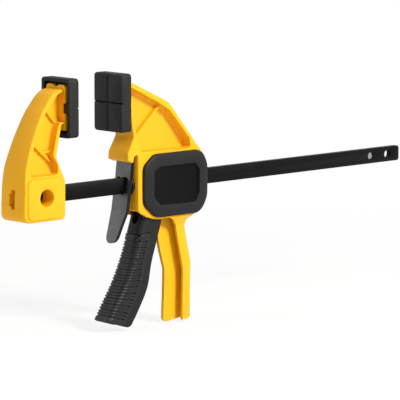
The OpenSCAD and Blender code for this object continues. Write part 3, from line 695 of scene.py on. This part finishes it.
heights = {round(p.y, 3) for p in back_line + wall_line} | {below(d) for d in range(19, 33)}
heights = sorted(heights, reverse=True)
stations = [(at_height(wall_line, z), at_height(back_line, z), z) for z in heights]
front, back, top_z = stations[0]
corner_in = handle_corner - handle_wall
turn_x, turn_y = back - handle_corner, handle_half - handle_corner
section = [(front, -handle_half)]
section += arc((turn_x, -turn_y), handle_corner, -90, 0)
section += arc((turn_x, turn_y), handle_corner, 0, 90)
section += [(front, handle_half), (front, handle_half - handle_wall)]
section += arc((turn_x, turn_y), corner_in, 90, 0)
section += arc((turn_x, -turn_y), corner_in, 0, -90)
section += [(front, -handle_half + handle_wall)]
handle = slab(section, top_z, top_z - 0.01, "Z")
edit(handle)
bpy.ops.mesh.select_all(action="SELECT")
bpy.ops.transform.resize(value=(1, flare(top_z) / handle_half, 1), center_override=(0, 0, 0))
for here, there in zip(stations, stations[1:]):
    low_z = min(v.co.z for v in handle.data.vertices)
    choose(handle, "FACE", lambda f: f.normal.z < -0.9 and middle(f).z < low_z + 0.005)
    bpy.ops.mesh.extrude_region_move(
        TRANSFORM_OT_translate={"value": (there[1] - here[1], 0, there[2] - here[2])})
    bpy.ops.transform.resize(value=(1, flare(there[2]) / flare(here[2]), 1),
                             center_override=(0, 0, 0))
    clear()
    low_z = min(v.co.z for v in handle.data.vertices)
    nose_x = min(v.co.x for v in handle.data.vertices if v.co.z < low_z + 0.001)
    choose(handle, "VERT", lambda v: v.co.z < low_z + 0.001 and v.co.x < nose_x + 0.01)
    bpy.ops.transform.translate(value=((there[0] - here[0]) - (there[1] - here[1]), 0, 0))
    clear()


def foot_z(x):
    """Height of the handle's slanted foot at a place along it."""
    return foot[1] + (x - foot[0]) * math.tan(foot_slope)


foot_rear = 73.3
limits = rounded([(30, below(17)), (30, foot_z(30)), (foot_rear, foot_z(foot_rear), 6.5),
                  (foot_rear, below(92)), (85, below(88)), (85, below(17))])
combine(handle, slab(limits, -20, 20), "INTERSECT")
combine(body, handle, "UNION")
hollow = [(wall_front + wall_t, above(15.4)), (body_rear - wall_rear_t, above(15.4)),
          (body_rear - wall_rear_t, below(18)), (mouth_rear, below(20)), (mouth_rear, below(34)),
          (wall_front + 1, below(34)), (wall_front + 1, below(13.4)),
          (wall_front + wall_t, below(13.4))]
combine(body, slab(hollow, -body_half + skin, body_half - skin), "DIFFERENCE")
web_outline = rounded(
    [(37.9, below(19)), (40.5, below(33)), (43.9, below(48.8), 25), (48.7, below(65), 12),
     (48.1, below(84), 30), (47, foot_z(47), 4), (72.3, foot_z(72.3), 6)]
    + [(p.x - handle_wall / 2, p.y) for p in reversed(back_line) if below(96) < p.y])
combine(body, slab(web_outline, -handle_web_half, handle_web_half), "UNION")
for s in (-1, 1):
    combine(body, rod((pivot[0], s * (fork_out + 0.3), pivot[1]),
                      (pivot[0], s * (body_half - skin + 0.5), pivot[1]), 4.3), "UNION")
combine(body, rod((lever_pivot[0], -20, lever_pivot[1]), (lever_pivot[0], 20, lever_pivot[1]),
                  lever_seat), "DIFFERENCE")
combine(body, rod((pivot[0], -20, pivot[1]), (pivot[0], 20, pivot[1]), 2.55), "DIFFERENCE")
combine(body, block((5, -bar_half_t - 0.15, bar_low.z - 0.15),
                    (90, bar_half_t + 0.15, bar_high.z + 0.15)), "DIFFERENCE")
combine(body, rod((wall_front - 1, 0, bar_axis), (wall_front + 5, 0, bar_axis), 8.4), "DIFFERENCE")
soften(body, small_edge)
deliver(body, "moving_jaw_moulding", nylon, "moving_jaw", ["jaw_body"], moving_x)

# Covers. Black nylon plates snapped over both sides of the housing, with a domed edge and a
# panel sunk in the middle, whose walls slope.
cover_t = 3.5
cover_panel = 2
panel_edge = 0.15       # chamfer where the panel's walls meet its floor
dome_w, dome_h = 5.5, 0.7    # width and fall of the slope round the cover
cover_bevel = 1.3
peg_r = 2.35


def black_nylon():
    # Black glass-filled nylon from a finely eroded mould: dark grey with a soft sheen and a
    # grain of some 0.1 mm drawn at 0.3 mm, so that its highlights are broad and even.
    material, shader, place = blank("glass_filled_nylon_black")
    cloud = add(material, "ShaderNodeTexNoise",
                {"Vector": place, "Scale": 60, "Detail": 3, "Roughness": 0.55}).outputs["Fac"]
    colour = add(material, "ShaderNodeMix", {0: cloud, 6: linear("131414"), 7: linear("1a1b1a")},
                 data_type="RGBA").outputs[2]
    connect(material, colour, shader, "Base Color")
    grain = add(material, "ShaderNodeTexNoise",
                {"Vector": place, "Scale": 3300, "Detail": 2, "Roughness": 0.5}).outputs["Fac"]
    rough = add(material, "ShaderNodeMapRange", {"Value": grain, "To Min": 0.42, "To Max": 0.58})
    connect(material, rough.outputs[0], shader, "Roughness")
    bump = add(material, "ShaderNodeBump", {"Height": grain, "Strength": 0.3, "Distance": 0.00006})
    connect(material, bump.outputs[0], shader, "Normal")
    shader.inputs["Specular IOR Level"].default_value = 0.22
    return material


def polished_nylon():
    # The same black nylon where its mould was polished, on the floor of the covers' panel: darker
    # and smoother than the eroded surface round it, with a faint unevenness some 8 mm across.
    material, shader, place = blank("polished_nylon_black")
    cloud = add(material, "ShaderNodeTexNoise",
                {"Vector": place, "Scale": 120, "Detail": 2, "Roughness": 0.5}).outputs["Fac"]
    colour = add(material, "ShaderNodeMix", {0: cloud, 6: linear("050505"), 7: linear("080808")},
                 data_type="RGBA").outputs[2]
    connect(material, colour, shader, "Base Color")
    rough = add(material, "ShaderNodeMapRange", {"Value": cloud, "To Min": 0.3, "To Max": 0.42})
    connect(material, rough.outputs[0], shader, "Roughness")
    shader.inputs["Specular IOR Level"].default_value = 0.09
    return material


black_plastic = black_nylon()
panel_plastic = polished_nylon()
cover_outline = rounded([
    (15.1, bar_axis + 15.3, 8), (26.5, bar_axis + 24.3, 10), (77.5, bar_axis + 24.3, 12),
    (83.5, bar_axis + 12, 16), (83.3, bar_axis - 14, 16), (76, bar_axis - 26.8, 12),
    (28, bar_axis - 26.6, 12), (15.1, bar_axis - 15.5, 11)])
panel_outline = rounded([
    (24.7, bar_axis + 10.9, 3), (31, bar_axis + 14.2, 3), (68.6, bar_axis + 14.2, 3),
    (73.6, bar_axis + 9, 4), (73.6, bar_axis - 10, 6), (69.4, bar_axis - 17.4, 4),
    (31.8, bar_axis - 16.8, 3), (24.7, bar_axis - 10.6, 3)])
for s, name, node in ((-1, "near_cover_moulding", "near_cover"), (1, "far_cover_moulding", "far_cover")):
    seat, top = s * body_half, s * (body_half + cover_t)
    edge_top = top - s * dome_h
    cover = slab(cover_outline, min(seat, edge_top), max(seat, edge_top))
    choose(cover, "FACE", lambda f: f.normal.y * s > 0.9)
    bpy.ops.mesh.inset(thickness=dome_w)
    bpy.ops.transform.translate(value=(0, s * dome_h, 0))
    round_edges(cover, cover_bevel, 4, lambda e: rim_edge(e) and abs(middle(e).y) > body_half + 1)
    sunk = s * (body_half + cover_t - cover_panel)
    panel = slab(panel_outline, min(sunk, 2 * top), max(sunk, 2 * top))
    round_edges(panel, panel_edge, 1,
                lambda e: rim_edge(e) and abs(middle(e).y) < body_half + cover_t)
    combine(cover, panel, "DIFFERENCE")
    for x, z in ((24, above(11)), (72, above(10)), (72, below(8))):
        combine(cover, rod((x, s * (body_half - skin + 0.1), z), (x, s * (body_half + 1), z), peg_r),
                "UNION")
    soften(cover, 0.3)
    deliver(cover, name, black_plastic, "moving_jaw", [node], moving_x)
    cover.data.materials.append(panel_plastic)
    choose(cover, "FACE", lambda f: f.normal.y * s > 0.9 and abs(f.calc_center_median().y - sunk * MM)
           < 0.02 * MM)
    cover.active_material_index = 1
    bpy.ops.object.material_slot_assign()
    clear()

# Trigger. Black nylon lever, a channel open to the rear with a round front. Above it a fork
# straddles the bar and turns on the pin; a slot in the front clears the bar.
trigger_half = 9.9
trigger_wall = 2.4
trigger_corner = 6
fork_in = bar_half_t + 1
grip_t = 1.6
front_line = curve([(19.6, below(17.6)), (14.4, below(33.1)), (7.9, below(51)), (-1.2, below(69.6)),
                    (-11.6, below(85.6)), (-19.7, below(98.7))])
back_line = curve([(38.2, below(23)), (32.7, below(40.1)), (27.2, below(56.5)), (22.9, below(75.6)),
                   (14.1, below(91.8)), (4.2, below(106.4))])


def inward(line, d):
    """A line of the trigger moved to its inner side by d, square to itself."""
    moved = []
    for i, p in enumerate(line):
        along = (line[min(i + 1, len(line) - 1)] - line[max(i - 1, 0)]).normalized()
        moved.append(p + d * Vector((-along.y, along.x)))
    return moved


def lever(front, back, half, corner):
    """A solid lever between its front and back lines, its front edges rounded."""
    front = front[:-2] + front[-1:]
    piece = slab(rounded(front + [(*back[-1], 5.5)] + back[-3::-1]), -half, half)
    line = [Vector((p.x, 0, p.y)) for p in front]
    round_edges(piece, corner, 8, lambda e: rim_edge(e) and
                min((Vector((middle(e).x, 0, middle(e).z)) - (a + b) / 2).length
                    for a, b in zip(line, line[1:])) < 0.4)
    return piece


grip_proud = 0.35       # the grip stands out of the plastic round it by this much
strip = 7               # plain plastic left behind the grip
grip_top = below(31.2)


def grip_region(inset, fall=12):
    """Side outline of the part of the lever that the grip covers, drawn smaller by an inset."""
    border = [p for p in inward(back_line, -strip - inset) if p.y < grip_top - 3]
    foot_end = border[-1] + 3 * (border[-1] - border[-2])
    return rounded([(-60, grip_top - 2 * inset - fall), (border[0].x + 0.5, grip_top - 2 * inset, 2)]
                   + border + [foot_end, (-60, foot_end.y)])


trigger = lever(inward(front_line, grip_proud), back_line, trigger_half - grip_proud,
                trigger_corner - grip_proud)
combine(trigger, slab(grip_region(0), -20, 20), "DIFFERENCE")
core_lines = (inward(front_line, grip_t), back_line, trigger_half - grip_t, trigger_corner - grip_t)
combine(trigger, lever(*core_lines), "UNION")
inner = lever(inward(front_line, grip_t + trigger_wall), inward(back_line, 3),
              trigger_half - grip_t - trigger_wall, 2.5)
combine(trigger, inner, "DIFFERENCE")
nose_r = 3
nose = (39.5 - 0.2 - nose_r, pivot[1] - 13.5)
fork_outline = rounded(
    arc(pivot, 6.5, 160, 20, 7) + arc(nose, nose_r, 20, -80, 5)
    + [(33.8, below(8), 4), (38.2, below(24), 2), (34, below(36)), (20, below(30)),
       (23, below(17.6)), (18, below(4)), (18, above(-6))])
for s in (-1, 1):
    combine(trigger, slab(fork_outline, min(s * fork_in, s * fork_out), max(s * fork_in, s * fork_out)),
            "UNION")
combine(trigger, rod((pivot[0], -20, pivot[1]), (pivot[0], 20, pivot[1]), 2.55), "DIFFERENCE")
slot_z = below(25.4)
slot = slab(rounded([(-fork_in, slot_z, fork_in * 0.99), (fork_in, slot_z, fork_in * 0.99),
                     (fork_in, above(30)), (-fork_in, above(30))]), -20, 90, "X")
combine(trigger, slot, "DIFFERENCE")
soften(trigger, 0.35)
deliver(trigger, "trigger_lever", black_plastic, "trigger", ["trigger"], moving_x)

# Trigger grip. Soft black rubber moulded over the lever's front, with round ribs across it. Every
# second groove is deep and shows in the outline, and those between them are shallow.
rib_count = 27
rib_pitch = 2.15
rib_round = 0.4
deep, shallow = (1.0, 1.1), (0.6, 0.85)     # depth and width of the grooves


def grip_rubber():
    # Soft overmould from a polished mould: black and satin, so that each rib catches a light
    # edge. A faint haze of some 3 mm keeps the sheen uneven.
    material, shader, place = blank("ribbed_overmould_rubber")
    haze = add(material, "ShaderNodeTexNoise",
               {"Vector": place, "Scale": 300, "Detail": 3, "Roughness": 0.6}).outputs["Fac"]
    colour = add(material, "ShaderNodeMix", {0: haze, 6: linear("161617"), 7: linear("1e1e1f")},
                 data_type="RGBA").outputs[2]
    connect(material, colour, shader, "Base Color")
    rough = add(material, "ShaderNodeMapRange", {"Value": haze, "To Min": 0.32, "To Max": 0.42})
    connect(material, rough.outputs[0], shader, "Roughness")
    grain = add(material, "ShaderNodeTexNoise", {"Vector": place, "Scale": 3300, "Detail": 2})
    bump = add(material, "ShaderNodeBump",
               {"Height": grain.outputs["Fac"], "Strength": 0.15, "Distance": 0.00006})
    connect(material, bump.outputs[0], shader, "Normal")
    shader.inputs["Specular IOR Level"].default_value = 0.3
    return material


grip = lever(front_line, back_line, trigger_half, trigger_corner)
combine(grip, slab(grip_region(0.35), -20, 20), "INTERSECT")
combine(grip, lever(*core_lines), "DIFFERENCE")
for first, (depth, gap) in ((0, deep), (1, shallow)):
    grooves = []
    for k in range(first, rib_count, 2):
        z = grip_top - 7.6 - k * rib_pitch
        i = max(j for j in range(len(front_line) - 1) if front_line[j].y >= z)
        start, end = front_line[i], front_line[min(i + 1, len(front_line) - 1)]
        front_place = start.lerp(end, (start.y - z) / (start.y - end.y))
        fall = 0.04 + 0.28 * max(0, (k / rib_count - 0.6) / 0.4)    # the lowest follow the foot
        along = Vector((1, -fall)).normalized()
        side = Vector((-along.y, along.x)) * gap / 2
        start, end = front_place - along * 4, front_place + along * 30
        grooves.append(slab([start + side, start - side, end - side, end + side], -15, 15))
    clear()
    for groove in grooves:
        groove.select_set(True)
    cutter = grooves[0]
    bpy.context.view_layer.objects.active = cutter
    bpy.ops.object.join()
    combine(cutter, slab(grip_region(2.6, 0), -20, 20), "INTERSECT")
    inside = lever(inward(front_line, depth), inward(back_line, 4), trigger_half - depth,
                   trigger_corner - depth)
    combine(cutter, inside, "DIFFERENCE")
    combine(grip, cutter, "DIFFERENCE")
round_edges(grip, rib_round, 3, lambda e: e.is_convex and e.calc_face_angle(0) > 0.9
            and max(abs(f.normal.z) for f in e.link_faces) > 0.75)
deliver(grip, "trigger_grip_overmould", grip_rubber(), "trigger", ["trigger_grip"], moving_x)

# Release lever. Grey steel strip, bent, tumbled smooth and left bare, with a window for the bar
# that grips it when the lever tilts.
lever_half = 8.75
window_half_w, window_half_h = 6.9, 6.95


def tumbled_steel():
    # Hardened steel tumbled in ceramic chips: a soft grey, with short fine scratches each way
    # some 0.05 mm wide, drawn at 0.2 mm. Its side faces, those turned towards ±Y, are drawn darker grey.
    material, shader, place = blank("tumbled_steel_plate")
    square = add(material, "ShaderNodeTexCoord", {}).outputs["Normal"]
    turned = add(material, "ShaderNodeMapping", {"Vector": place, "Scale": (1, 0.2, 1)}).outputs[0]
    lines = add(material, "ShaderNodeTexNoise",
                {"Vector": turned, "Scale": 3000, "Detail": 3, "Roughness": 0.6}).outputs["Fac"]
    cloud = add(material, "ShaderNodeTexNoise",
                {"Vector": place, "Scale": 160, "Detail": 3, "Roughness": 0.6}).outputs["Fac"]
    colour = add(material, "ShaderNodeMix", {0: cloud, 6: linear("58595b"), 7: linear("6c6d6f")},
                 data_type="RGBA").outputs[2]
    # The faces turned towards ±Y, the strip's thin sides, take a darker grey than its broad faces.
    facing = add(material, "ShaderNodeSeparateXYZ", {0: square}).outputs["Y"]
    edge = add(material, "ShaderNodeMath", {0: facing}, operation="ABSOLUTE").outputs[0]
    side_face_share = add(material, "ShaderNodeMapRange",
                  {"Value": edge, "From Min": 0.75, "From Max": 0.95}).outputs[0]
    colour = add(material, "ShaderNodeMix", {0: side_face_share, 6: colour, 7: linear("2a2a2b")},
                 data_type="RGBA").outputs[2]
    connect(material, colour, shader, "Base Color")
    rough = add(material, "ShaderNodeMapRange", {"Value": lines, "To Min": 0.36, "To Max": 0.56})
    connect(material, rough.outputs[0], shader, "Roughness")
    bump = add(material, "ShaderNodeBump", {"Height": lines, "Strength": 0.2, "Distance": 0.00004})
    connect(material, bump.outputs[0], shader, "Normal")
    shader.inputs["Metallic"].default_value = 1.0
    return material


lever_front = [Vector(p) for p in (
    (lever_pivot[0] - lever_t / 2, lever_pivot[1]), (6.3, above(9.05)), (5.4, above(0.45)),
    (2.8, below(1.75)), (1.1, below(13.15)), (-2.5, below(22.55)), (-8.4, below(38.35)))]
back_shift = Vector((lever_t * 1.05, 0))
plate = slab([Vector((lever_pivot[0] + lever_t / 2, lever_pivot[1]))]
             + [p + back_shift for p in lever_front[1:]] + list(reversed(lever_front)),
             -lever_half, lever_half)
combine(plate, rod((lever_pivot[0], -lever_half, lever_pivot[1]),
                   (lever_pivot[0], lever_half, lever_pivot[1]), lever_t / 2), "UNION")
tip = below(38.35)
face = rounded([(-lever_half, above(22)), (lever_half, above(22)), (lever_half, below(14), 10),
                (7.3, below(24), 10), (5.6, tip, 6), (-5.6, tip, 6), (-7.3, below(24), 10),
                (-lever_half, below(14), 10)])
combine(plate, slab(face, -20, 20, "X"), "INTERSECT")
window = rounded([(-window_half_w, bar_axis - window_half_h, 2.5),
                  (window_half_w, bar_axis - window_half_h, 2.5),
                  (window_half_w, bar_axis + window_half_h, 2.5),
                  (-window_half_w, bar_axis + window_half_h, 2.5)])
combine(plate, slab(window, -20, 20, "X"), "DIFFERENCE")
soften(plate, 0.5, 3)
deliver(plate, "release_lever_plate", tumbled_steel(), "release", ["release_lever"], moving_x)

# Pin and gripping plates. Inside the housing, mostly hidden: the CAD solids carry the zinc plating
# of pressed and turned steel.
for name in ("trigger_pin", "drive_plate_front", "drive_plate_rear"):
    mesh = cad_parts[name].data
    mesh.materials.clear()
    mesh.materials.append(zinc)

# Springs. Two coils of spring wire round the bar: the drive spring pushes the gripping plates
# back, and the brake spring pushes the release lever forward.
drive_seat = 44.5       # rear face of the second gripping plate
plate_stroke = 3.3
brake_seat = 4          # depth of the brake spring's seat in the front wall
lever_stroke = 3.8
drive_wire, drive_turns, drive_r = 1.4, 6, 7.89     # wire, turns and radius to the wire's middle
brake_wire, brake_turns, brake_r = 1.2, 2.5, 7.69


def spring_wire():
    # Patented spring wire, drawn and lightly oiled: a mid grey with fine lines and a hard sheen.
    material, shader, place = blank("drawn_spring_wire")
    lines = add(material, "ShaderNodeTexNoise",
                {"Vector": place, "Scale": 2200, "Detail": 3, "Roughness": 0.6}).outputs["Fac"]
    colour = add(material, "ShaderNodeMix", {0: lines, 6: linear("3c3c3d"), 7: linear("58595a")},
                 data_type="RGBA").outputs[2]
    connect(material, colour, shader, "Base Color")
    rough = add(material, "ShaderNodeMapRange", {"Value": lines, "To Min": 0.25, "To Max": 0.4})
    connect(material, rough.outputs[0], shader, "Roughness")
    shader.inputs["Metallic"].default_value = 1.0
    return material


wire = spring_wire()
for name, node, x0, x1, radius, size, turns, joint, stroke in (
        ("drive_spring_coil", "drive_spring", drive_seat, body_rear - wall_rear_t, drive_r,
         drive_wire, drive_turns, "trigger_squeeze", plate_stroke),
        ("brake_spring_coil", "brake_spring", 9, wall_front + brake_seat, brake_r, brake_wire,
         brake_turns, "release_pull", lever_stroke)):
    clear()
    bpy.ops.mesh.primitive_circle_add(vertices=12, radius=size / 2, location=(0, 0, radius),
                                      rotation=(math.pi / 2, 0, 0))
    coil = bpy.context.object
    bpy.ops.object.transform_apply(location=True, rotation=True, scale=True)
    winding = coil.modifiers.new("winding", "SCREW")
    winding.axis = "X"
    winding.angle = math.tau * turns
    winding.steps = winding.render_steps = math.ceil(turns * 24)
    winding.screw_offset = x1 - x0 - size
    bpy.ops.object.modifier_apply(modifier=winding.name)
    choose(coil, "EDGE", lambda e: e.is_boundary)
    bpy.ops.mesh.fill_holes(sides=0)
    bpy.ops.mesh.select_all(action="SELECT")
    bpy.ops.transform.translate(value=(x0 + size / 2, 0, bar_axis))
    deliver(coil, name, wire, "moving_jaw", [node], moving_x)
    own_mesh(coil)

# Floor and light. A white studio sweep: the camera and every gloss see it as plain white, while
# a little of the floor's own shading is left in, so that the clamp's soft shadow still lies on it.
floor_z = cad_box[0][2]
clear()
bpy.ops.mesh.primitive_plane_add(size=40, location=(0.1, 0, floor_z - 0.0005))
floor = bpy.context.object
floor.name = "floor"
shadow_share = 0.16    # how much of the floor's shading shows, near the clamp
shadow_reach = 0.7
paint, paint_shader, _ = blank("white_sweep")
paint_shader.inputs["Base Color"].default_value = linear("f0f0f0")
paint_shader.inputs["Roughness"].default_value = 0.9


def seen_ray(tree):
    """1 for the rays that should find the white background: camera, gloss and transmission."""
    path = tree.nodes.new("ShaderNodeLightPath")
    total = path.outputs["Is Camera Ray"]
    for name in ("Is Glossy Ray", "Is Transmission Ray"):
        larger = tree.nodes.new("ShaderNodeMath")
        larger.operation = "MAXIMUM"
        tree.links.new(total, larger.inputs[0])
        tree.links.new(path.outputs[name], larger.inputs[1])
        total = larger.outputs[0]
    return total


tree = paint.node_tree
place = tree.nodes["Texture Coordinate"].outputs["Object"]
distance = add(paint, "ShaderNodeVectorMath", {0: place}, operation="LENGTH").outputs["Value"]
shading = add(paint, "ShaderNodeMapRange",
              {"Value": distance, "From Min": shadow_reach / 2, "From Max": shadow_reach,
               "To Min": 1 - shadow_share, "To Max": 1}).outputs[0]
share = add(paint, "ShaderNodeMath", {0: seen_ray(tree), 1: shading}, operation="MULTIPLY")
white = add(paint, "ShaderNodeEmission", {})
mixed = add(paint, "ShaderNodeMixShader",
            {0: share.outputs[0], 1: paint_shader.outputs[0], 2: white.outputs[0]})
tree.links.new(mixed.outputs[0], tree.nodes["Material Output"].inputs["Surface"])
floor.data.materials.append(paint)
floor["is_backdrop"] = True

world = bpy.data.worlds.new("studio")
bpy.context.scene.world = world
world.use_nodes = True
tree = world.node_tree
ambient = 0.42
strength = tree.nodes.new("ShaderNodeMapRange")
strength.inputs["To Min"].default_value = ambient
tree.links.new(seen_ray(tree), strength.inputs["Value"])
tree.nodes["Background"].inputs["Color"].default_value = (1, 1, 1, 1)
tree.links.new(strength.outputs[0], tree.nodes["Background"].inputs["Strength"])


def lamp(name, place, size, power, colour):
    """A round soft lamp turned to the clamp."""
    bpy.ops.object.light_add(type="AREA", location=place)
    new = bpy.context.object
    new.name = name
    new.data.shape = "DISK"
    new.data.size = size
    new.data.energy = power
    new.data.color = linear(colour)[:3]
    new.rotation_euler = (aim - Vector(place)).to_track_quat("-Z", "Y").to_euler()


lamp("key", (0.35, -1.6, 1.05), 0.6, 47, "fffcf8")
lamp("left", (-1.5, 0.5, 1.1), 0.9, 8, "fff2e0")

size = {"cad": [list(p) for p in cad_box], "visual": [list(p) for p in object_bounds()]}
